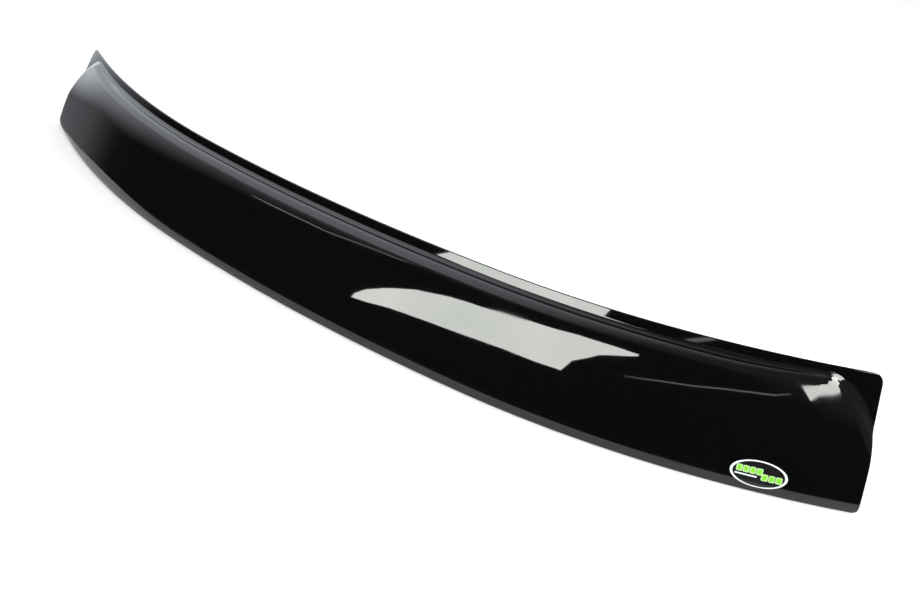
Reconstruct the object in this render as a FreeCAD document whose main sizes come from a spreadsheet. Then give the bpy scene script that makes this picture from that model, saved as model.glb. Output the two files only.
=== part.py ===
import FreeCAD, Part
import Sketcher
import math
import os

# Rear window visor: one thermoformed sheet of gloss plastic, arched along its length, that stands on
# its lower edge.  +X runs along the length, -Y is the show side, +Z is up.
# Lengths are in millimetres and angles in degrees.  "Lean" is the angle between a line of a section
# and the vertical, positive towards the back.

SIZES = {
    # Plan of the lower edge: a flat middle arc between two tighter end arcs
    "mid_radius": 2400.0,
    "mid_angle": 5.0,
    "end_radius": 1117.0,
    "end_angle": 20.0,
    # Section along the arch, from the floor up
    "sheet_thickness": 3.0,
    "lip_radius": 20.0,
    "lip_tuck": 8.0,
    "face_lean": 24.3,
    "face_radius": 600.0,
    "shoulder_radius": 10.0,
    "riser_length": 2.0,
    "valley_radius": 5.0,
    "flange_lean": 29.0,
    # Upper edge of the flange, and the upper end of the face below and in front of it
    "top_height": 109.0,
    "shoulder_drop": 15.0,
    "flange_setback": 20.7,
    # Flare towards the ends, where the face rises and leans closer to the flange
    "flare_angle": 7.7,
    "flare_face_radius": 400.0,
    "flare_shoulder_drop": 11.0,
    # Corner at the ends, where the shoulder turns down and the step between face and flange runs out
    "corner_angle": 2.7,
    "end_shoulder_drop": 68.0,
    "end_shoulder_radius": 60.0,
    "end_valley_radius": 30.0,
    "end_flange_lean": 32.0,
    # Rounded corners of the sheet
    "upper_corner_radius": 10.0,
    "lower_corner_radius": 5.0,
    # Trim below the floor that the lower edge is cut back from
    "trim_allowance": 4.0,
    # Plain oval label on the lower right of the face
    "label_length": 51.0,
    "label_width": 25.5,
    "label_thickness": 0.2,
    "label_angle": 20.3,
    "label_height": 18.1,
    "label_lean": 25.0,
}

# Shares of the flare before the corner, and of the corner, where a section stands
FLARE_SHARES = (0.0, 0.5)
CORNER_SHARES = (0.0, 0.25, 0.5, 0.74, 1.0)

# Edges of a section, from the floor up
LIP, FACE, SHOULDER, RISER, VALLEY, FLANGE = range(6)
# Ends and centre of an edge in a sketch; arcs run counter-clockwise
FIRST, LAST, CENTRE = range(1, 4)


def make_sheet(doc):
    """Puts every driving size in a cell of its own, under its name."""
    sheet = doc.addObject("Spreadsheet::Sheet", "Sizes")
    for row, (name, value) in enumerate(SIZES.items(), start=1):
        cell = "B%d" % row
        sheet.set("A%d" % row, name)
        sheet.set(cell, str(value))
        sheet.setAlias(cell, name)
    doc.recompute()
    return sheet


def plan_place(angle):
    """Expressions for where the lower edge lies in plan when it points at this angle."""
    words = {
        "r": "Sizes.mid_radius",
        "e": "Sizes.end_radius",
        "i": "min(%s; Sizes.mid_angle) * 1 deg" % angle,
        "o": "max(%s; Sizes.mid_angle) * 1 deg" % angle,
        "m": "Sizes.mid_angle * 1 deg",
    }
    along = "({r} * sin({i}) + {e} * (sin({o}) - sin({m})))"
    back = "({r} * (1 - cos({i})) + {e} * (cos({m}) - cos({o})))"
    return along.format(**words), back.format(**words)


def outward(lean, length):
    """Vector square to a line of this lean, towards the show side."""
    return FreeCAD.Vector(-length * math.cos(lean), length * math.sin(lean), 0)


def upward(lean, length):
    """Vector along a line of this lean."""
    return FreeCAD.Vector(length * math.sin(lean), length * math.cos(lean), 0)


def convex_arc(centre, radius, upper_lean, lower_lean):
    """Arc that bulges towards the show side, between two leans."""
    circle = Part.Circle(centre, FreeCAD.Vector(0, 0, 1), radius)
    return Part.ArcOfCircle(circle, math.pi - upper_lean, math.pi - lower_lean)


def concave_arc(centre, radius, lower_lean, upper_lean):
    """Arc that is hollow towards the show side, between two leans."""
    circle = Part.Circle(centre, FreeCAD.Vector(0, 0, 1), radius)
    return Part.ArcOfCircle(circle, -lower_lean, -upper_lean)


def blend(low, high, weight):
    """Expression that goes from one size to another."""
    return "({a} + ({b} - {a}) * {w})".format(a=low, b=high, w="%g" % weight)


def lip_height():
    """Expression for the height at which the lip meets the face."""
    return "Sizes.lip_radius * (sin(Sizes.lip_tuck * 1 deg) + sin(Sizes.face_lean * 1 deg))"


def top_depth():
    """Expression for the depth of the flange's edge, set back from the face along the middle of the visor."""
    words = {
        "more": "(Sizes.face_radius - Sizes.lip_radius)",
        "lean": "Sizes.face_lean * 1 deg",
        "tuck": "Sizes.lip_tuck * 1 deg",
    }
    across = "(Sizes.lip_radius * cos({tuck}) + {more} * cos({lean}))".format(**words)
    up = "(Sizes.lip_radius * sin({tuck}) - {more} * sin({lean}))".format(**words)
    rise = "(Sizes.top_height - Sizes.shoulder_drop - %s)" % up
    return "(%s - sqrt(Sizes.face_radius ^ 2 - %s ^ 2) + Sizes.flange_setback)" % (across, rise)


def section_sizes(flare, turn):
    """Expressions of the sizes that change along the visor; flare and turn go from 0 to 1 at the ends."""
    drop = blend("Sizes.shoulder_drop", "Sizes.flare_shoulder_drop", flare)
    return {
        "face_radius": blend("Sizes.face_radius", "Sizes.flare_face_radius", flare),
        "shoulder_height": "(Sizes.top_height - %s)" % blend(drop, "Sizes.end_shoulder_drop", turn),
        "shoulder_radius": blend("Sizes.shoulder_radius", "Sizes.end_shoulder_radius", turn),
        "valley_radius": blend("Sizes.valley_radius", "Sizes.end_valley_radius", turn),
        "flange_lean": blend("Sizes.flange_lean", "Sizes.end_flange_lean", turn),
    }


def lay_section(sketch, sheet, sizes):
    """Draws the six edges of a section from the floor up; the constraints then hold them."""
    values = {name: float(sketch.evalExpression(words)) for name, words in sizes.items()}
    face_radius = values["face_radius"]
    shoulder_radius = values["shoulder_radius"]
    valley_radius = values["valley_radius"]
    flange_lean = math.radians(values["flange_lean"])
    tuck = math.radians(sheet.lip_tuck)
    face_lean = math.radians(sheet.face_lean)

    lip_centre = FreeCAD.Vector(sheet.lip_radius * math.cos(tuck), sheet.lip_radius * math.sin(tuck), 0)
    floor_lean = math.asin((-sheet.trim_allowance - lip_centre.y) / sheet.lip_radius)
    face_centre = lip_centre - outward(face_lean, face_radius - sheet.lip_radius)
    top_lean = math.asin((values["shoulder_height"] - face_centre.y) / face_radius)
    face_end = face_centre + outward(top_lean, face_radius)
    shoulder_centre = face_end - outward(top_lean, shoulder_radius)
    flange_end = FreeCAD.Vector(float(sketch.evalExpression(top_depth())), sheet.top_height, 0)

    # The riser leans so far that the step from the face ends on the line of the flange
    step = (face_end - flange_end).dot(outward(flange_lean, 1.0))
    rest = shoulder_radius * math.cos(top_lean - flange_lean) + valley_radius - step
    reach = math.hypot(shoulder_radius + valley_radius, sheet.riser_length)
    slack = math.atan2(sheet.riser_length, shoulder_radius + valley_radius)
    riser_lean = flange_lean + math.acos(rest / reach) - slack
    riser_start = shoulder_centre + outward(riser_lean, shoulder_radius)
    riser_end = riser_start + upward(riser_lean, sheet.riser_length)
    valley_centre = riser_end + outward(riser_lean, valley_radius)
    flange_start = valley_centre - outward(flange_lean, valley_radius)

    sketch.addGeometry(convex_arc(lip_centre, sheet.lip_radius, face_lean, floor_lean))
    sketch.addGeometry(convex_arc(face_centre, face_radius, top_lean, face_lean))
    sketch.addGeometry(convex_arc(shoulder_centre, shoulder_radius, riser_lean, top_lean))
    sketch.addGeometry(Part.LineSegment(riser_start, riser_end))
    sketch.addGeometry(concave_arc(valley_centre, valley_radius, riser_lean, flange_lean))
    sketch.addGeometry(Part.LineSegment(flange_start, flange_end))


def make_section(doc, sheet, name, angle, flare, turn):
    """One open section of the show surface, standing square to the lower edge at this plan angle."""
    sketch = doc.addObject("Sketcher::SketchObject", name)
    along, back = plan_place(angle)
    place = "placement(vector({x}; {y}; 0); rotation(90 + {a}; 0; 90))"
    sketch.setExpression("Placement", place.format(x=along, y=back, a=angle))
    sizes = section_sizes(flare, turn)
    lay_section(sketch, sheet, sizes)

    for lower, upper in ((LIP, FACE), (FACE, SHOULDER)):
        sketch.addConstraint(Sketcher.Constraint("Tangent", lower, FIRST, upper, LAST))
    sketch.addConstraint(Sketcher.Constraint("Tangent", SHOULDER, FIRST, RISER, FIRST))
    sketch.addConstraint(Sketcher.Constraint("Tangent", RISER, LAST, VALLEY, FIRST))
    sketch.addConstraint(Sketcher.Constraint("Tangent", VALLEY, LAST, FLANGE, FIRST))

    def bind(label, index, expression):
        sketch.renameConstraint(index, label)
        sketch.setExpression("Constraints." + label, expression)

    def bind_radius(label, edge, expression):
        value = sketch.Geometry[edge].Radius
        bind(label, sketch.addConstraint(Sketcher.Constraint("Radius", edge, value)), expression)

    def bind_across(label, edge, point, expression):
        value = sketch.getPoint(edge, point).x
        constraint = Sketcher.Constraint("DistanceX", -1, FIRST, edge, point, value)
        bind(label, sketch.addConstraint(constraint), expression)

    def bind_height(label, edge, point, expression):
        value = sketch.getPoint(edge, point).y
        constraint = Sketcher.Constraint("DistanceY", -1, FIRST, edge, point, value)
        bind(label, sketch.addConstraint(constraint), expression)

    bind_radius("lip_radius", LIP, "Sizes.lip_radius")
    bind_across("lip_across", LIP, CENTRE, "Sizes.lip_radius * cos(Sizes.lip_tuck * 1 deg)")
    bind_height("lip_up", LIP, CENTRE, "Sizes.lip_radius * sin(Sizes.lip_tuck * 1 deg)")
    bind_height("trim", LIP, LAST, "-Sizes.trim_allowance")
    bind_height("lip_height", LIP, FIRST, lip_height())
    bind_radius("face_radius", FACE, sizes["face_radius"])
    bind_height("shoulder_height", FACE, FIRST, sizes["shoulder_height"])
    bind_radius("shoulder_radius", SHOULDER, sizes["shoulder_radius"])
    riser = Sketcher.Constraint("Distance", RISER, sketch.Geometry[RISER].length())
    bind("riser_length", sketch.addConstraint(riser), "Sizes.riser_length")
    bind_radius("valley_radius", VALLEY, sizes["valley_radius"])
    bind_across("top_depth", FLANGE, LAST, top_depth())
    bind_height("top_height", FLANGE, LAST, "Sizes.top_height")
    rise = sketch.getPoint(FLANGE, LAST) - sketch.getPoint(FLANGE, FIRST)
    lean = Sketcher.Constraint("Angle", FLANGE, math.atan2(rise.y, rise.x))
    bind("flange_lean", sketch.addConstraint(lean), "(90 - %s) * 1 deg" % sizes["flange_lean"])
    return sketch


def thicken(doc, section, name, expression):
    """Closed section between an open one and its offset; a negative offset lies behind it."""
    closed = doc.addObject("Part::Offset2D", name)
    closed.Source = section
    closed.setExpression("Value", expression)
    closed.Mode = "Skin"
    closed.Fill = True
    return closed


def sweep_arc(doc, name, section, centre, angle):
    """Turns a closed section about an upright axis."""
    arc = doc.addObject("Part::Revolution", name)
    arc.Source = section
    arc.Axis = FreeCAD.Vector(0, 0, 1)
    arc.setExpression("Base", "vector(%s; %s; 0)" % centre)
    arc.setExpression("Angle", angle)
    arc.Solid = True
    return arc


def smooth(share):
    """Weight that starts and ends gently."""
    return share * share * (3.0 - 2.0 * share)


def end_sections(doc, sheet):
    """Open sections of the right end, from where the flare starts to the end of the visor."""
    total = "(Sizes.mid_angle + Sizes.end_angle)"
    plain = sheet.flare_angle - sheet.corner_angle
    found = []
    for share in FLARE_SHARES:
        angle = "(%s - Sizes.flare_angle + %g * (Sizes.flare_angle - Sizes.corner_angle))" % (total, share)
        found.append((angle, smooth(share * plain / sheet.flare_angle), 0.0))
    for share in CORNER_SHARES:
        angle = "(%s - %g * Sizes.corner_angle)" % (total, 1.0 - share)
        flare = smooth((plain + share * sheet.corner_angle) / sheet.flare_angle)
        found.append((angle, flare, share * share))
    sections = []
    for number, (angle, flare, turn) in enumerate(found):
        sections.append(make_section(doc, sheet, "end_section_%d" % number, angle, flare, turn))
    return sections


def loft(doc, name, sections, expression):
    """Solid through the sections, each thickened first."""
    closed = []
    for section in sections:
        closed.append(thicken(doc, section, "%s_of_%s" % (name, section.Name), expression))
    doc.recompute()
    solid = doc.addObject("Part::Loft", name)
    solid.Sections = closed
    solid.Solid = True
    solid.Ruled = True
    doc.recompute()
    return solid


def make_blank(doc, sheet, sections):
    """The whole thick sheet before trimming: a right half and its mirror image."""
    thick = "-Sizes.sheet_thickness"
    mid_section = thicken(doc, make_section(doc, sheet, "mid_section", "0", 0.0, 0.0), "mid_sheet", thick)
    arc_section = make_section(doc, sheet, "arc_section", "Sizes.mid_angle", 0.0, 0.0)
    arc_section = thicken(doc, arc_section, "arc_sheet", thick)
    inset = "(Sizes.mid_radius - Sizes.end_radius)"
    end_centre = (inset + " * sin(Sizes.mid_angle * 1 deg)",
                  "Sizes.mid_radius - " + inset + " * cos(Sizes.mid_angle * 1 deg)")
    parts = [
        sweep_arc(doc, "mid_arc", mid_section, ("0", "Sizes.mid_radius"), "Sizes.mid_angle"),
        sweep_arc(doc, "end_arc", arc_section, end_centre, "Sizes.end_angle - Sizes.flare_angle"),
        loft(doc, "flared_end", sections, thick),
    ]
    half = doc.addObject("Part::MultiFuse", "right_half")
    half.Shapes = parts
    mirror = doc.addObject("Part::Mirroring", "left_half")
    mirror.Source = half
    mirror.Normal = FreeCAD.Vector(1, 0, 0)
    blank = doc.addObject("Part::MultiFuse", "blank")
    blank.Shapes = [half, mirror]
    blank.Refine = True
    doc.recompute()
    return blank


def trim_at_floor(doc, blank):
    """Cuts the lower edge flat, so that the visor stands on it."""
    offcut = doc.addObject("Part::Box", "floor_offcut")
    reach = "2 * (Sizes.mid_radius + Sizes.end_radius)"
    offcut.setExpression("Length", reach)
    offcut.setExpression("Width", reach)
    offcut.setExpression("Height", "3 * Sizes.trim_allowance")
    corner = "placement(vector(-Sizes.mid_radius - Sizes.end_radius; -Sizes.mid_radius - Sizes.end_radius;"
    offcut.setExpression("Placement", corner + " -3 * Sizes.trim_allowance); rotation(0; 0; 0))")
    trimmed = doc.addObject("Part::Cut", "trimmed_sheet")
    trimmed.Base = blank
    trimmed.Tool = offcut
    doc.recompute()
    return trimmed


def corner_edges(shape, sheet):
    """Numbers of the edges through the sheet at its two upper corners and at its two lower corners."""
    upper, lower = [], []
    for side in (-1, 1):
        high, low = [], []
        for number, edge in enumerate(shape.Edges, start=1):
            middle = edge.CenterOfMass
            if edge.Length < 1.5 * sheet.sheet_thickness:
                if middle.z > sheet.top_height - sheet.sheet_thickness:
                    high.append((side * middle.x, number))
                if middle.z < sheet.sheet_thickness:
                    low.append((side * middle.x, number))
        upper.append(max(high)[1])
        lower.append(max(low)[1])
    return upper, lower


def round_corners(doc, trimmed, sheet):
    """Rounds the four corners of the sheet's outline."""
    upper, lower = corner_edges(trimmed.Shape, sheet)
    shell = doc.addObject("Part::Fillet", "visor_shell")
    shell.Base = trimmed
    rounds = [(number, sheet.upper_corner_radius, sheet.upper_corner_radius) for number in upper]
    rounds += [(number, sheet.lower_corner_radius, sheet.lower_corner_radius) for number in lower]
    shell.Edges = rounds
    shell.Label = "visor_shell"
    doc.recompute()
    return shell


def make_label(doc, sections):
    """A thin plain oval label that follows the face; it is cut out of a skin laid on the show surface."""
    skin = loft(doc, "label_skin", sections, "Sizes.label_thickness")
    oval = doc.addObject("Part::Ellipse", "label_outline")
    oval.setExpression("MajorRadius", "Sizes.label_length / 2")
    oval.setExpression("MinorRadius", "Sizes.label_width / 2")
    along, back = plan_place("Sizes.label_angle")
    inward = "Sizes.label_height * tan(Sizes.label_lean * 1 deg)"
    centre = "vector({x} - {i} * sin({a} * 1 deg); {y} + {i} * cos({a} * 1 deg); Sizes.label_height)"
    centre = centre.format(x=along, y=back, i=inward, a="Sizes.label_angle")
    turn = "rotation(Sizes.label_angle; 0; 90 - Sizes.label_lean)"
    oval.setExpression("Placement", "placement(%s; %s)" % (centre, turn))
    plug = doc.addObject("Part::Extrusion", "label_plug")
    plug.Base = oval
    plug.DirMode = "Normal"
    plug.setExpression("LengthFwd", "Sizes.label_length")
    plug.Symmetric = True
    plug.Solid = True
    label = doc.addObject("Part::Common", "oval_label")
    label.Base = skin
    label.Tool = plug
    label.Label = "oval_label"
    doc.recompute()
    return label


def check(doc, pieces):
    """Stops if any object failed or any piece is not one sound solid."""
    for item in doc.Objects:
        if "Invalid" in item.State or "Error" in item.State:
            raise RuntimeError("%s did not build: %s" % (item.Name, item.State))
    for piece in pieces:
        if piece.Shape.isNull() or not piece.Shape.isValid():
            raise RuntimeError("%s has no valid shape" % piece.Label)
        if len(piece.Shape.Solids) != 1:
            raise RuntimeError("%s is not one solid" % piece.Label)


def main():
    doc = FreeCAD.newDocument("rear_window_visor")
    sheet = make_sheet(doc)
    sections = end_sections(doc, sheet)
    blank = make_blank(doc, sheet, sections)
    trimmed = trim_at_floor(doc, blank)
    shell = round_corners(doc, trimmed, sheet)
    label = make_label(doc, sections)
    pieces = [shell, label]
    check(doc, pieces)
    os.makedirs("parts", exist_ok=True)
    for piece in pieces:
        piece.Shape.exportStep("parts/%s.step" % piece.Label)
        print(piece.Label, round(piece.Shape.Volume), piece.Shape.optimalBoundingBox())


main()
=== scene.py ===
import math

import bpy
import numpy as np
from mathutils import Matrix, Vector


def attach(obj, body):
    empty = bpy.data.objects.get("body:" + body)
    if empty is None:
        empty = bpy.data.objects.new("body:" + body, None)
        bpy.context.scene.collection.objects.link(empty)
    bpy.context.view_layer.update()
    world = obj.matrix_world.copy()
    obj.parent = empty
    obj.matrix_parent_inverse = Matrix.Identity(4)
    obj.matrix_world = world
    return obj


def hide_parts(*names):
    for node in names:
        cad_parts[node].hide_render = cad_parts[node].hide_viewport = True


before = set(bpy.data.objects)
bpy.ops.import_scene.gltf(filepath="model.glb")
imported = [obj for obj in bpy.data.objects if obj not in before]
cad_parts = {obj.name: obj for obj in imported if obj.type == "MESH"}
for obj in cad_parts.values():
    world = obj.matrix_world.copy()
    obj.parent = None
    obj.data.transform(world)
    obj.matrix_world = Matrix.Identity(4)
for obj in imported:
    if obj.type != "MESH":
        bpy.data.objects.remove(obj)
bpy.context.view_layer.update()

# Rear window visor: gloss black plastic sheet, arched along its length, standing on its lower edge.
# Sizes are in millimetres and degrees, as in the part's source; MM turns them into metres.
MM = 0.001

# Plan of the lower edge
MID_RADIUS = 2400.0
MID_ANGLE = math.radians(5.0)
END_RADIUS = 1117.0
END_ANGLE = math.radians(20.0)

# Section along the arch
SHEET_THICKNESS = 3.0
LIP_RADIUS = 20.0
LIP_TUCK = math.radians(8.0)
FACE_LEAN = math.radians(24.3)
FACE_RADIUS = 600.0
SHOULDER_RADIUS = 10.0
RISER_LENGTH = 2.0
VALLEY_RADIUS = 5.0
FLANGE_LEAN = math.radians(29.0)
TOP_HEIGHT = 109.0
SHOULDER_DROP = 15.0
FLANGE_SETBACK = 20.7

# Flare towards the ends, where the face rises and leans closer to the flange
FLARE_ANGLE = math.radians(7.7)
FLARE_FACE_RADIUS = 400.0
FLARE_SHOULDER_DROP = 11.0

# Corner at the ends, where the shoulder turns down and the step between face and flange runs out
CORNER_ANGLE = math.radians(2.7)
END_SHOULDER_DROP = 68.0
END_SHOULDER_RADIUS = 60.0
END_VALLEY_RADIUS = 30.0
END_FLANGE_LEAN = math.radians(32.0)

# Corners and edges of the sheet
UPPER_CORNER_RADIUS = 10.0
LOWER_CORNER_RADIUS = 5.0
EDGE_ROUND = 1.0

# Label on the lower right of the face
LABEL_LENGTH = 51.0
LABEL_WIDTH = 25.5
LABEL_THICKNESS = 0.2
LABEL_ANGLE = math.radians(20.3)
LABEL_HEIGHT = 18.1

# Print of the label: rows of blocks as left, right, height, half height and count
UPPER_BLOCKS = (-20.6, 3.4, 2.5, 3.2, 4)
LOWER_BLOCKS = (2.4, 21.4, -1.9, 3.2, 3)
LINE_BLOCKS = (-20.6, -1.0, -2.9, 0.7, 7)
RIM_START = (0.90, 0.92)

# Gloss: the lip is rubbed duller between these heights
PLASTIC_IOR = 1.49
RUBBED_HEIGHTS = (5.0, 16.0)
RUBBED_ROUGHNESS = 0.18

# Grid of the sheet: steps up the section, points along half the visor; rings and spokes of the label
LIP_STEPS = (8, 8)
EDGE_STEPS = (("face", 40), ("shoulder", 20), ("riser", 4), ("valley", 12))
FLANGE_STEPS = (12, 8)
ARCH_POINTS = 60
FLARE_POINTS = 60
END_POINTS = 14
LABEL_RINGS = 12
LABEL_SPOKES = 96

# Runs along the lower edge
MID_RUN = MID_RADIUS * MID_ANGLE
END_RUN = END_RADIUS * END_ANGLE
HALF_RUN = MID_RUN + END_RUN
FLARE_RUN = END_RADIUS * FLARE_ANGLE
CORNER_RUN = END_RADIUS * CORNER_ANGLE
LABEL_RUN = MID_RUN + END_RADIUS * (LABEL_ANGLE - MID_ANGLE)

# Centre and length of the section's lip
LIP_X = LIP_RADIUS * math.cos(LIP_TUCK)
LIP_Z = LIP_RADIUS * math.sin(LIP_TUCK)
LIP_RUN = LIP_RADIUS * (LIP_TUCK + FACE_LEAN)

# Middle of the label: how far up the face it lies, and how far behind the lower edge
LABEL_CLIMB = (LABEL_HEIGHT - LIP_Z - LIP_RADIUS * math.sin(FACE_LEAN)) / math.cos(FACE_LEAN)
LABEL_DEPTH = LABEL_HEIGHT * math.tan(FACE_LEAN)

# Camera, as fitted to the photograph: angles as seen from the point that it aims at
IMAGE_WIDTH = 920.0
FOCAL_PIXELS = 800.0
CAMERA_AZIMUTH = math.radians(30.84)
CAMERA_ELEVATION = math.radians(35.94)
CAMERA_ROLL = math.radians(6.43)
CAMERA_DISTANCE = 919.4
CAMERA_TARGET = (135.0, 130.3, 0.0)
SENSOR_WIDTH = 36.0

# Studio light: a soft dome, brightest behind and to the left, over a dark room
DOME_AZIMUTH = math.radians(-170.0)
DOME_ELEVATION = math.radians(60.5)
DOME_AXIS = (math.sin(DOME_AZIMUTH) * math.cos(DOME_ELEVATION),
             -math.cos(DOME_AZIMUTH) * math.cos(DOME_ELEVATION),
             math.sin(DOME_ELEVATION))
DOME_FADE = (-0.01, 0.14)
DOME_SIDES = (-0.55, 0.20)
DOME_LIGHT = 2.3
DOME_RIGHT = 0.08
ROOM_LIGHT = 0.02
WALL_FADE = (-0.32, -0.10)
WALL_LIGHT = 0.35
WALL_RIGHT = 0.35
STUDIO_COLOUR = (0.90, 0.94, 1.0, 1.0)
BACKDROP_COLOUR = (0.82, 0.83, 0.85, 1.0)

# Floor: left edge of the sheet that the visor mirrors, reach in metres, colour and own glow
FLOOR_EDGE = ((-560.0, -400.0, 0.0), (-560.0, 0.0, 0.0))
FLOOR_REACH = 6.0
FLOOR_COLOUR = (0.68, 0.665, 0.65, 1.0)
FLOOR_ROUGHNESS = 0.7
FLOOR_GLOW = 0.09
FLOOR_GLOW_COLOUR = (0.97, 0.98, 1.0, 1.0)

# Lit cards round the visor: distance in metres, strengths, and how the strength varies over a card
CARD_DISTANCE = 2.5
FRONT_CARD_LIGHT = 16.0
LEFT_LINE_LIGHT = 3.0
RIGHT_LINE_LIGHT = 2.6
RIGHT_CARD_LIGHT = 16.0
CARD_LEAST = 0.85
CARD_SPREAD = 0.3
CARD_COLOURS = ((0.93, 1.0, 0.95, 1.0), (1.0, 0.97, 0.92, 1.0))

# Outlines of the cards: pairs of azimuth and elevation in degrees, seen from the origin
FRONT_CARD = (
    ((-28.5, 11.8), (-28.4, 13.2)), ((-26.2, 12.7), (-27.3, 15.7)), ((-22.7, 14.5), (-25.2, 18.6)),
    ((-17.4, 16.0), (-21.1, 22.5)), ((-11.7, 17.3), (-16.1, 25.3)), ((-4.8, 18.5), (-7.1, 27.7)),
    ((2.6, 19.0), (3.7, 29.3)), ((8.7, 19.3), (10.1, 30.0)), ((10.1, 22.7), (11.9, 30.0)),
    ((12.7, 24.7), (15.1, 30.0)), ((14.9, 26.6), (18.2, 29.9)), ((22.2, 29.1), (22.3, 29.6)),
)
LEFT_LINE = (
    ((-50.5, 19.12), (-50.5, 19.28)), ((-46.6, 20.37), (-46.6, 20.63)), ((-42.6, 21.67), (-42.6, 21.93)),
    ((-38.4, 22.97), (-38.4, 23.23)), ((-34.6, 24.57), (-34.6, 24.83)), ((-30.4, 26.17), (-30.4, 26.43)),
    ((-26.4, 27.3), (-26.4, 27.5)), ((-23.3, 28.64), (-23.3, 28.76)),
)
RIGHT_LINE = (
    ((20.5, 23.1), (20.5, 23.3)), ((26.8, 23.94), (26.8, 24.26)), ((34.1, 24.64), (34.1, 24.96)),
    ((42.1, 25.14), (42.1, 25.46)), ((49.5, 25.84), (49.5, 26.16)), ((53.3, 26.92), (53.3, 27.08)),
)
RIGHT_CARD = (
    ((56.9, 29.4), (56.9, 26.7)), ((59.8, 30.4), (59.2, 28.3)), ((61.3, 31.2), (62.5, 29.5)),
    ((75.0, 46.0), (80.0, 37.0)), ((100.0, 56.0), (100.0, 42.0)), ((116.0, 52.0), (116.0, 40.0)),
    ((131.0, 48.0), (131.0, 35.0)), ((152.0, 39.0), (152.0, 29.0)),
)


def plan(run):
    """Plan position and direction of the lower edge at a run measured from its middle."""
    side = np.sign(run)
    distance = np.abs(run)
    inner = np.minimum(distance, MID_RUN) / MID_RADIUS
    outer = MID_ANGLE + np.maximum(distance - MID_RUN, 0.0) / END_RADIUS
    x = MID_RADIUS * np.sin(inner) + END_RADIUS * (np.sin(outer) - math.sin(MID_ANGLE))
    y = MID_RADIUS * (1.0 - np.cos(inner)) + END_RADIUS * (math.cos(MID_ANGLE) - np.cos(outer))
    angle = np.where(distance < MID_RUN, inner, outer)
    return side * x, y, side * angle


def mix(mid, end, share):
    return mid + (end - mid) * share


def face_centre(face_radius):
    """Depth and height of the centre of the face's arc, which leaves the lip smoothly."""
    reach = face_radius - LIP_RADIUS
    return LIP_X + reach * math.cos(FACE_LEAN), LIP_Z - reach * math.sin(FACE_LEAN)


def top_depth():
    """Depth of the flange's edge, set back from the face along the middle of the visor."""
    face_x, face_z = face_centre(FACE_RADIUS)
    rise = TOP_HEIGHT - SHOULDER_DROP - face_z
    return face_x - math.sqrt(FACE_RADIUS ** 2 - rise ** 2) + FLANGE_SETBACK


TOP_DEPTH = top_depth()


def section_point(flare, turn, edge, share):
    """Depth and height of a point of the section; flare and turn are 0 on the arch and 1 at the ends."""
    if edge == "lip":
        # adding 0 times turn gives the lip as many values as there are runs
        lean = mix(EDGE_ROUND / LIP_RADIUS - LIP_TUCK, FACE_LEAN, share) + 0.0 * turn
        return LIP_X - LIP_RADIUS * np.cos(lean), LIP_Z + LIP_RADIUS * np.sin(lean)
    face_radius = mix(FACE_RADIUS, FLARE_FACE_RADIUS, flare)
    drop = mix(mix(SHOULDER_DROP, FLARE_SHOULDER_DROP, flare), END_SHOULDER_DROP, turn)
    shoulder_height = TOP_HEIGHT - drop
    shoulder_radius = mix(SHOULDER_RADIUS, END_SHOULDER_RADIUS, turn)
    valley_radius = mix(VALLEY_RADIUS, END_VALLEY_RADIUS, turn)
    flange_lean = mix(FLANGE_LEAN, END_FLANGE_LEAN, turn)
    face_x, face_z = face_centre(face_radius)
    top_lean = np.arcsin((shoulder_height - face_z) / face_radius)
    if edge == "face":
        lean = mix(FACE_LEAN, top_lean, share)
        return face_x - face_radius * np.cos(lean), face_z + face_radius * np.sin(lean)
    shoulder_x = face_x - (face_radius - shoulder_radius) * np.cos(top_lean)
    shoulder_z = face_z + (face_radius - shoulder_radius) * np.sin(top_lean)
    face_end = face_x - face_radius * np.cos(top_lean)
    step = (TOP_DEPTH - face_end) * np.cos(flange_lean) - drop * np.sin(flange_lean)
    reach = shoulder_radius + valley_radius
    rest = shoulder_radius * np.cos(top_lean - flange_lean) + valley_radius - step
    riser_lean = (flange_lean + np.arccos(rest / np.hypot(reach, RISER_LENGTH))
                  - np.arctan2(RISER_LENGTH, reach))
    if edge == "shoulder":
        lean = mix(top_lean, riser_lean, share)
        return shoulder_x - shoulder_radius * np.cos(lean), shoulder_z + shoulder_radius * np.sin(lean)
    riser_x = shoulder_x - shoulder_radius * np.cos(riser_lean)
    riser_z = shoulder_z + shoulder_radius * np.sin(riser_lean)
    if edge == "riser":
        return (riser_x + RISER_LENGTH * share * np.sin(riser_lean),
                riser_z + RISER_LENGTH * share * np.cos(riser_lean))
    valley_x = riser_x + RISER_LENGTH * np.sin(riser_lean) - valley_radius * np.cos(riser_lean)
    valley_z = riser_z + RISER_LENGTH * np.cos(riser_lean) + valley_radius * np.sin(riser_lean)
    if edge == "valley":
        lean = mix(riser_lean, flange_lean, share)
        return valley_x + valley_radius * np.cos(lean), valley_z - valley_radius * np.sin(lean)
    flange_x = valley_x + valley_radius * np.cos(flange_lean)
    flange_z = valley_z - valley_radius * np.sin(flange_lean)
    top_x = TOP_DEPTH - EDGE_ROUND * np.sin(flange_lean)
    top_z = TOP_HEIGHT - EDGE_ROUND * np.cos(flange_lean)
    return mix(flange_x, top_x, share), mix(flange_z, top_z, share)


def rounded_shares(radius, length, steps, plain_steps):
    """Shares of an edge, packed closer in its first part, where the sheet's corner is rounded."""
    turn = np.linspace(0.0, 0.5 * math.pi, steps + 1)
    rounded = radius * (1.0 - np.cos(turn)) / length
    plain = np.linspace(rounded[-1], 1.0, plain_steps + 1)
    return np.concatenate([rounded, plain[1:]])


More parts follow.
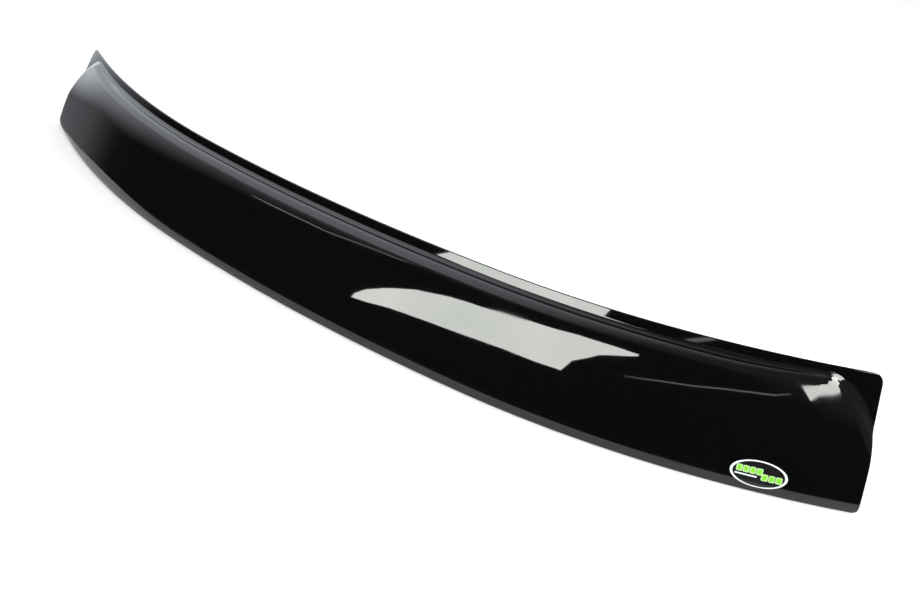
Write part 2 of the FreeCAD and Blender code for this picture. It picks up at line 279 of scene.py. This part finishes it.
def section_points():
    """Edge name and share for every point of the section, from the floor to the flange's edge."""
    flange_start = section_point(1.0, 1.0, "flange", 0.0)
    flange_end = section_point(1.0, 1.0, "flange", 1.0)
    flange_run = math.hypot(flange_end[0] - flange_start[0], flange_end[1] - flange_start[1])
    lip = rounded_shares(LOWER_CORNER_RADIUS - EDGE_ROUND, LIP_RUN - EDGE_ROUND, *LIP_STEPS)
    flange = 1.0 - rounded_shares(UPPER_CORNER_RADIUS - EDGE_ROUND, flange_run, *FLANGE_STEPS)[::-1]
    points = [("lip", share) for share in lip]
    for edge, steps in EDGE_STEPS:
        points += [(edge, step / steps) for step in range(1, steps + 1)]
    return points + [("flange", share) for share in flange[1:]]


SECTION_POINTS = section_points()


def changes(run):
    """Weights of the flare and of the corner at a run: 0 along the arch, 1 at the ends."""
    distance = np.abs(run)
    flare = np.clip((distance - HALF_RUN + FLARE_RUN) / FLARE_RUN, 0.0, 1.0)
    corner = np.clip((distance - HALF_RUN + CORNER_RUN) / CORNER_RUN, 0.0, None)
    return flare ** 2 * (3.0 - 2.0 * flare), corner ** 2


def set_out(run, depth, height):
    """Points at a run along the lower edge, a depth behind it and a height above the floor."""
    x, y, angle = plan(run)
    return np.stack([x - depth * np.sin(angle), y + depth * np.cos(angle), height + 0.0 * x], axis=-1)


def surface(run):
    """Points of the show surface for a grid of runs, one column per section point."""
    columns = []
    for column, (edge, share) in enumerate(SECTION_POINTS):
        along = run[:, column]
        flare, turn = changes(along)
        depth, height = section_point(flare, turn, edge, share)
        columns.append(set_out(along, depth, height))
    return np.stack(columns, axis=1)


def surface_normals(run):
    """Unit normals of the show surface, towards the show side."""
    step = 0.05
    along = surface(run + step) - surface(run - step)
    places = surface(run)
    across = np.gradient(places, axis=1)
    normal = np.cross(along, across)
    normal /= np.linalg.norm(normal, axis=2, keepdims=True)
    return normal


def corner_inset(climb, radius):
    """How far the sheet's end is set in at a height along its end edge, for one rounded corner."""
    inside = np.clip(radius - climb, 0.0, radius)
    return radius - np.sqrt(np.maximum(radius ** 2 - inside ** 2, 0.0))


def grid_runs():
    """Runs of the grid, whose ends follow the outline with its rounded corners, inside the round edge."""
    tail = 2.0 * UPPER_CORNER_RADIUS
    plain = np.linspace(0.0, HALF_RUN - FLARE_RUN, ARCH_POINTS)[:-1]
    flared = np.linspace(HALF_RUN - FLARE_RUN, HALF_RUN - tail, FLARE_POINTS)
    half = np.concatenate([plain, flared])
    count = len(SECTION_POINTS)
    outline = surface(np.full((1, count), HALF_RUN))[0]
    steps = np.linalg.norm(np.diff(outline, axis=0), axis=1)
    climb = np.concatenate([[0.0], np.cumsum(steps)])
    inset = EDGE_ROUND + corner_inset(climb, LOWER_CORNER_RADIUS - EDGE_ROUND)
    inset += corner_inset(climb[-1] - climb, UPPER_CORNER_RADIUS - EDGE_ROUND)
    shares = np.linspace(0.0, 1.0, END_POINTS)[1:]
    ends = HALF_RUN - tail + shares[:, None] * (tail - inset)[None, :]
    right = np.concatenate([np.repeat(half[:, None], count, axis=1), ends])
    return np.concatenate([-right[:0:-1], right])


def make_mesh(name, vertices, faces):
    mesh = bpy.data.meshes.new(name)
    mesh.from_pydata([tuple(v) for v in vertices], [], faces)
    mesh.validate()
    mesh.shade_smooth()
    mesh.update()
    piece = bpy.data.objects.new(name, mesh)
    bpy.context.scene.collection.objects.link(piece)
    return piece


def rim_rings(edge, normal):
    """Rings that carry the sheet's show side round its edge, a closed loop of points, to its back."""
    tangent = np.roll(edge, -1, axis=0) - np.roll(edge, 1, axis=0)
    out = np.cross(tangent, normal)
    out /= np.linalg.norm(out, axis=1, keepdims=True)
    rings = []
    for turn in np.radians((22.5, 45.0, 67.5, 90.0)):
        rings.append(edge + EDGE_ROUND * (math.sin(turn) * out - (1.0 - math.cos(turn)) * normal))
    for turn in np.radians((0.0, 22.5, 45.0, 67.5)):
        depth = SHEET_THICKNESS - EDGE_ROUND * (1.0 - math.sin(turn))
        rings.append(edge + EDGE_ROUND * math.cos(turn) * out - depth * normal)
    return rings


def make_sheet():
    """The visor as a closed sheet with rounded edges."""
    runs = grid_runs()
    outer = surface(runs)
    normal = surface_normals(runs)
    rows, columns = runs.shape
    inner = outer - SHEET_THICKNESS * normal
    number = np.arange(rows * columns).reshape(rows, columns)
    loop = np.concatenate([number[:-1, 0], number[-1, :-1], number[:0:-1, -1], number[0, :0:-1]])
    rings = rim_rings(outer.reshape(-1, 3)[loop], normal.reshape(-1, 3)[loop])
    vertices = np.concatenate([outer.reshape(-1, 3), inner.reshape(-1, 3)] + rings)
    vertices[:, 2] = np.maximum(vertices[:, 2], 0.0)

    back = rows * columns
    corners = [number[:-1, :-1], number[1:, :-1], number[1:, 1:], number[:-1, 1:]]
    show = np.stack(corners, axis=-1).reshape(-1, 4)
    faces = show.tolist() + (back + show[:, ::-1]).tolist()
    count = len(loop)
    bands = [loop]
    for ring in range(len(rings)):
        bands.append(2 * back + ring * count + np.arange(count))
    bands.append(back + loop)
    for near, far in zip(bands[:-1], bands[1:]):
        band = np.stack([near, far, np.roll(far, -1), np.roll(near, -1)], axis=-1)
        faces += band.tolist()
    return make_mesh("visor_sheet", vertices * MM, faces)


def label_point(across, up, lift):
    """Points over the face, given across and up from the label's middle, lifted off the show surface."""
    def place(across, up):
        run = LABEL_RUN + across * END_RADIUS / (END_RADIUS - LABEL_DEPTH)
        flare, turn = changes(run)
        face_radius = mix(FACE_RADIUS, FLARE_FACE_RADIUS, flare)
        face_x, face_z = face_centre(face_radius)
        climb = LABEL_CLIMB + up
        face = FACE_LEAN + climb / face_radius
        lip = FACE_LEAN + climb / LIP_RADIUS
        on_face = climb > 0.0
        depth = np.where(on_face, face_x - face_radius * np.cos(face), LIP_X - LIP_RADIUS * np.cos(lip))
        height = np.where(on_face, face_z + face_radius * np.sin(face), LIP_Z + LIP_RADIUS * np.sin(lip))
        return set_out(run, depth, height)

    step = 0.01
    along = place(across + step, up) - place(across - step, up)
    upward = place(across, up + step) - place(across, up - step)
    normal = np.cross(along, upward)
    normal /= np.linalg.norm(normal, axis=-1, keepdims=True)
    return place(across, up) + lift * normal


def make_label():
    """Thin oval label that follows the face, with a map of its own for the print."""
    rings, spokes = LABEL_RINGS, LABEL_SPOKES
    turn = np.linspace(0.0, 2.0 * math.pi, spokes, endpoint=False)
    share = np.concatenate([np.linspace(0.0, 1.0, rings + 1)[1:], [1.0]])
    across = 0.5 * LABEL_LENGTH * share[:, None] * np.cos(turn)[None, :]
    up = 0.5 * LABEL_WIDTH * share[:, None] * np.sin(turn)[None, :]
    lift = np.full(across.shape, LABEL_THICKNESS)
    lift[-1] = 0.0
    across = np.append(across.ravel(), 0.0)
    up = np.append(up.ravel(), 0.0)
    lift = np.append(lift.ravel(), LABEL_THICKNESS)
    vertices = label_point(across, up, lift[:, None]) * MM
    middle = (rings + 1) * spokes
    faces = []
    for i in range(spokes):
        j = (i + 1) % spokes
        faces.append((middle, i, j))
        for ring in range(rings):
            near, far = ring * spokes, (ring + 1) * spokes
            faces.append((near + i, far + i, far + j, near + j))
    edge = rings * spokes
    faces.append(tuple(edge + i for i in reversed(range(spokes))))
    piece = make_mesh("label_oval", vertices, faces)
    print_map = piece.data.uv_layers.new(name="print")
    for loop in piece.data.loops:
        number = loop.vertex_index
        print_map.data[loop.index].uv = (across[number] * MM, up[number] * MM)
    return piece


class Nodes:
    """Short hand for a material's node tree."""

    def __init__(self, name):
        self.material = bpy.data.materials.new(name)
        self.material.use_nodes = True
        self.tree = self.material.node_tree
        self.shader = self.tree.nodes["Principled BSDF"]

    def add(self, kind, **settings):
        node = self.tree.nodes.new("ShaderNode" + kind)
        for name, value in settings.items():
            setattr(node, name, value)
        return node

    def feed(self, socket, value):
        if isinstance(value, bpy.types.NodeSocket):
            self.tree.links.new(value, socket)
        else:
            socket.default_value = value

    def math(self, operation, *values):
        node = self.add("Math", operation=operation)
        for socket, value in zip(node.inputs, values):
            self.feed(socket, value)
        return node.outputs[0]

    def noise(self, place, scale, detail=2.0, stretch=None):
        if stretch:
            spread = self.add("VectorMath", operation="MULTIPLY")
            self.feed(spread.inputs[0], place)
            self.feed(spread.inputs[1], stretch)
            place = spread.outputs[0]
        node = self.add("TexNoise")
        self.feed(node.inputs["Vector"], place)
        self.feed(node.inputs["Scale"], scale)
        self.feed(node.inputs["Detail"], detail)
        return node.outputs["Fac"]

    def ramp(self, value, low, high, start, end):
        node = self.add("MapRange", interpolation_type="SMOOTHSTEP")
        self.feed(node.inputs["Value"], value)
        self.feed(node.inputs["From Min"], low)
        self.feed(node.inputs["From Max"], high)
        self.feed(node.inputs["To Min"], start)
        self.feed(node.inputs["To Max"], end)
        return node.outputs["Result"]

    def blend(self, weight, first, second):
        node = self.add("Mix", data_type="RGBA")
        self.feed(node.inputs["Factor"], weight)
        self.feed(node.inputs[6], first)
        self.feed(node.inputs[7], second)
        return node.outputs[2]


def gloss_plastic():
    """Black plastic with a deep gloss, faintly wavy, wiped and a little dusty, with a duller lip."""
    nodes = Nodes("gloss_black_plastic")
    place = nodes.add("TexCoord").outputs["Object"]
    wipes = nodes.ramp(nodes.noise(place, 14.0, 4.0, (1.0, 3.0, 3.0)), 0.50, 0.72, 0.0, 1.0)
    grain = nodes.noise(place, 260.0, 2.0)
    dust = nodes.ramp(nodes.noise(place, 900.0, 1.0), 0.765, 0.80, 0.0, 1.0)
    dusty = nodes.ramp(nodes.noise(place, 5.0, 1.0), 0.45, 0.60, 0.0, 1.0)
    dust = nodes.math("MULTIPLY", dust, dusty)
    haze = nodes.math("MULTIPLY_ADD", wipes, 0.030, 0.018)
    height = nodes.add("SeparateXYZ")
    nodes.feed(height.inputs[0], place)
    low, high = RUBBED_HEIGHTS
    rubbed = nodes.ramp(height.outputs["Z"], low * MM, high * MM, RUBBED_ROUGHNESS, 0.0)
    haze = nodes.math("ADD", haze, rubbed)
    nodes.feed(nodes.shader.inputs["Roughness"], nodes.math("MULTIPLY_ADD", grain, 0.012, haze))
    cool, warm = (0.0016, 0.0016, 0.0020, 1.0), (0.0026, 0.0025, 0.0026, 1.0)
    tint = nodes.blend(nodes.noise(place, 3.0), cool, warm)
    nodes.feed(nodes.shader.inputs["Base Color"], nodes.blend(dust, tint, (0.05, 0.05, 0.05, 1.0)))
    nodes.feed(nodes.shader.inputs["IOR"], PLASTIC_IOR)
    bump = nodes.add("Bump")
    nodes.feed(bump.inputs["Height"], nodes.noise(place, 22.0, 1.0))
    nodes.feed(bump.inputs["Strength"], 1.0)
    nodes.feed(bump.inputs["Distance"], 0.00006)
    nodes.feed(nodes.shader.inputs["Normal"], bump.outputs["Normal"])
    return nodes.material


def printed_label():
    """Black oval with a pale rim and rows of plain rounded blocks, in satin vinyl."""
    nodes = Nodes("printed_label")
    split = nodes.add("SeparateXYZ")
    nodes.feed(split.inputs[0], nodes.add("UVMap", uv_map="print").outputs["UV"])
    across, up = split.outputs["X"], split.outputs["Y"]

    def block_row(left, right, height, half_height, count):
        """How far a place lies outside the nearest of a row of rounded blocks."""
        width = (right - left) / count
        number = nodes.math("DIVIDE", nodes.math("SUBTRACT", across, left * MM), width * MM)
        number = nodes.math("MAXIMUM", nodes.math("FLOOR", number), 0.0)
        number = nodes.math("MINIMUM", number, count - 1.0)
        middle = nodes.math("MULTIPLY_ADD", number, width * MM, (left + 0.5 * width) * MM)
        corner = 0.4 * min(half_height, 0.5 * width)
        beside = nodes.math("ABSOLUTE", nodes.math("SUBTRACT", across, middle))
        beside = nodes.math("MAXIMUM", nodes.math("SUBTRACT", beside, (0.46 * width - corner) * MM), 0.0)
        above = nodes.math("ABSOLUTE", nodes.math("SUBTRACT", up, height * MM))
        above = nodes.math("MAXIMUM", nodes.math("SUBTRACT", above, (half_height - corner) * MM), 0.0)
        away = nodes.math("POWER", beside, 2.0)
        away = nodes.math("SQRT", nodes.math("ADD", away, nodes.math("POWER", above, 2.0)))
        return nodes.math("SUBTRACT", away, corner * MM)

    wear = nodes.noise(nodes.add("TexCoord").outputs["Object"], 400.0, 3.0)
    rows = nodes.math("MINIMUM", block_row(*UPPER_BLOCKS), block_row(*LOWER_BLOCKS))
    line = block_row(*LINE_BLOCKS)
    far_across = nodes.math("POWER", nodes.math("DIVIDE", across, 0.5 * LABEL_LENGTH * MM), 2.0)
    far_up = nodes.math("POWER", nodes.math("DIVIDE", up, 0.5 * LABEL_WIDTH * MM), 2.0)
    ring = nodes.math("SQRT", nodes.math("ADD", far_across, far_up))
    black = nodes.blend(wear, (0.004, 0.004, 0.004, 1.0), (0.008, 0.008, 0.008, 1.0))
    white = nodes.blend(wear, (0.70, 0.76, 0.78, 1.0), (0.82, 0.88, 0.90, 1.0))
    green = nodes.blend(wear, (0.16, 0.52, 0.02, 1.0), (0.24, 0.64, 0.04, 1.0))
    pale = nodes.blend(wear, (0.40, 0.62, 0.30, 1.0), (0.50, 0.72, 0.38, 1.0))
    colour = nodes.blend(nodes.ramp(line, -0.00015, 0.00015, 1.0, 0.0), black, white)
    colour = nodes.blend(nodes.ramp(rows, -0.0001, 0.0001, 1.0, 0.0), colour, pale)
    colour = nodes.blend(nodes.ramp(rows, -0.0011, -0.0007, 1.0, 0.0), colour, green)
    colour = nodes.blend(nodes.ramp(ring, *RIM_START, 0.0, 1.0), colour, white)
    nodes.feed(nodes.shader.inputs["Base Color"], colour)
    nodes.feed(nodes.shader.inputs["Roughness"], nodes.math("MULTIPLY_ADD", wear, 0.10, 0.18))
    return nodes.material


def make_camera():
    """Camera at the photograph's viewing angle."""
    back = Vector((math.sin(CAMERA_AZIMUTH) * math.cos(CAMERA_ELEVATION),
                   -math.cos(CAMERA_AZIMUTH) * math.cos(CAMERA_ELEVATION),
                   math.sin(CAMERA_ELEVATION)))
    level_right = (-back).cross(Vector((0.0, 0.0, 1.0))).normalized()
    level_up = level_right.cross(-back)
    right = math.cos(CAMERA_ROLL) * level_right + math.sin(CAMERA_ROLL) * level_up
    up = -math.sin(CAMERA_ROLL) * level_right + math.cos(CAMERA_ROLL) * level_up
    place = (Vector(CAMERA_TARGET) + back * CAMERA_DISTANCE) * MM
    data = bpy.data.cameras.new("camera")
    data.sensor_fit = "HORIZONTAL"
    data.sensor_width = SENSOR_WIDTH
    data.lens = FOCAL_PIXELS * SENSOR_WIDTH / IMAGE_WIDTH
    data.clip_start = 0.01
    camera = bpy.data.objects.new("camera", data)
    camera.matrix_world = Matrix((
        (right.x, up.x, back.x, place.x),
        (right.y, up.y, back.y, place.y),
        (right.z, up.z, back.z, place.z),
        (0.0, 0.0, 0.0, 1.0),
    ))
    bpy.context.scene.collection.objects.link(camera)
    bpy.context.scene.camera = camera


def make_floor():
    """Pale floor in two pieces: the visor mirrors only the one on the right, which it stands on."""
    near, far = Vector(FLOOR_EDGE[0]) * MM, Vector(FLOOR_EDGE[1]) * MM
    slope = (far - near).normalized()
    start, end = near - FLOOR_REACH * slope, far + FLOOR_REACH * slope
    side = FLOOR_REACH * Vector((-slope.y, slope.x, 0.0))
    material = bpy.data.materials.new("pale_floor")
    material.use_nodes = True
    shader = material.node_tree.nodes["Principled BSDF"]
    shader.inputs["Base Color"].default_value = FLOOR_COLOUR
    shader.inputs["Roughness"].default_value = FLOOR_ROUGHNESS
    shader.inputs["Emission Color"].default_value = FLOOR_GLOW_COLOUR
    shader.inputs["Emission Strength"].default_value = FLOOR_GLOW
    for name, edge, mirrored in (("floor", -side, True), ("floor_left", side, False)):
        piece = make_mesh(name, [start, end, end + edge, start + edge], [(0, 1, 2, 3)])
        piece.data.materials.append(material)
        piece.visible_glossy = mirrored


def make_world():
    """Soft dome of light that fades to the front and right, with a dim wall; the camera sees it plain."""
    world = bpy.data.worlds.new("studio")
    bpy.context.scene.world = world
    world.use_nodes = True
    nodes = world.node_tree.nodes
    links = world.node_tree.links

    def fade(value, given, start, end):
        node = nodes.new("ShaderNodeMapRange")
        node.interpolation_type = "SMOOTHSTEP"
        links.new(value, node.inputs["Value"])
        node.inputs["From Min"].default_value = min(given)
        node.inputs["From Max"].default_value = max(given)
        node.inputs["To Min"].default_value = start
        node.inputs["To Max"].default_value = end
        return node.outputs["Result"]

    def join(operation, first, second):
        node = nodes.new("ShaderNodeMath")
        node.operation = operation
        links.new(first, node.inputs[0])
        links.new(second, node.inputs[1])
        return node.outputs[0]

    place = nodes.new("ShaderNodeTexCoord").outputs["Generated"]
    along = nodes.new("ShaderNodeVectorMath")
    along.operation = "DOT_PRODUCT"
    along.inputs[1].default_value = DOME_AXIS
    links.new(place, along.inputs[0])
    split = nodes.new("ShaderNodeSeparateXYZ")
    links.new(place, split.inputs[0])
    dome = fade(along.outputs["Value"], DOME_FADE, 0.0, DOME_LIGHT)
    dome = join("MULTIPLY", dome, fade(split.outputs["X"], DOME_SIDES, 1.0, DOME_RIGHT))
    wall = fade(split.outputs["Y"], WALL_FADE, ROOM_LIGHT, WALL_LIGHT)
    wall = join("MULTIPLY", wall, fade(split.outputs["X"], DOME_SIDES, 1.0, WALL_RIGHT))
    background = nodes["Background"]
    background.inputs["Color"].default_value = STUDIO_COLOUR
    links.new(join("MAXIMUM", dome, wall), background.inputs["Strength"])
    plain = nodes.new("ShaderNodeBackground")
    plain.inputs["Color"].default_value = BACKDROP_COLOUR
    seen = nodes.new("ShaderNodeMixShader")
    links.new(nodes.new("ShaderNodeLightPath").outputs["Is Camera Ray"], seen.inputs[0])
    links.new(background.outputs[0], seen.inputs[1])
    links.new(plain.outputs[0], seen.inputs[2])
    links.new(seen.outputs[0], nodes["World Output"].inputs["Surface"])


def make_card(name, pairs, strength):
    """Lit card, as a band between pairs of directions; the camera doesn't see it."""
    vertices = []
    for pair in pairs:
        for azimuth, elevation in np.radians(pair):
            level = CARD_DISTANCE * math.cos(elevation)
            height = CARD_DISTANCE * math.sin(elevation)
            vertices.append((level * math.sin(azimuth), -level * math.cos(azimuth), height))
    faces = [(2 * i, 2 * i + 2, 2 * i + 3, 2 * i + 1) for i in range(len(pairs) - 1)]
    card = make_mesh(name, vertices, faces)
    nodes = Nodes(name)
    cloth = nodes.noise(nodes.add("TexCoord").outputs["Object"], 2.5, 3.0)
    lit = nodes.add("Emission")
    nodes.feed(lit.inputs["Color"], nodes.blend(cloth, *CARD_COLOURS))
    spread, least = CARD_SPREAD * strength, CARD_LEAST * strength
    nodes.feed(lit.inputs["Strength"], nodes.math("MULTIPLY_ADD", cloth, spread, least))
    nodes.feed(nodes.tree.nodes["Material Output"].inputs["Surface"], lit.outputs[0])
    card.data.materials.append(nodes.material)
    card.visible_camera = False


def make_lights():
    make_world()
    make_card("front_card", FRONT_CARD, FRONT_CARD_LIGHT)
    make_card("left_line", LEFT_LINE, LEFT_LINE_LIGHT)
    make_card("right_line", RIGHT_LINE, RIGHT_LINE_LIGHT)
    make_card("right_card", RIGHT_CARD, RIGHT_CARD_LIGHT)


sheet = make_sheet()
sheet.data.materials.append(gloss_plastic())
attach(sheet, "root")
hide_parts("visor_shell")

label = make_label()
label.data.materials.append(printed_label())
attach(label, "root")
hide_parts("oval_label")

make_floor()
make_lights()
make_camera()
bpy.context.scene.view_settings.view_transform = "Standard"

bpy.context.view_layer.update()
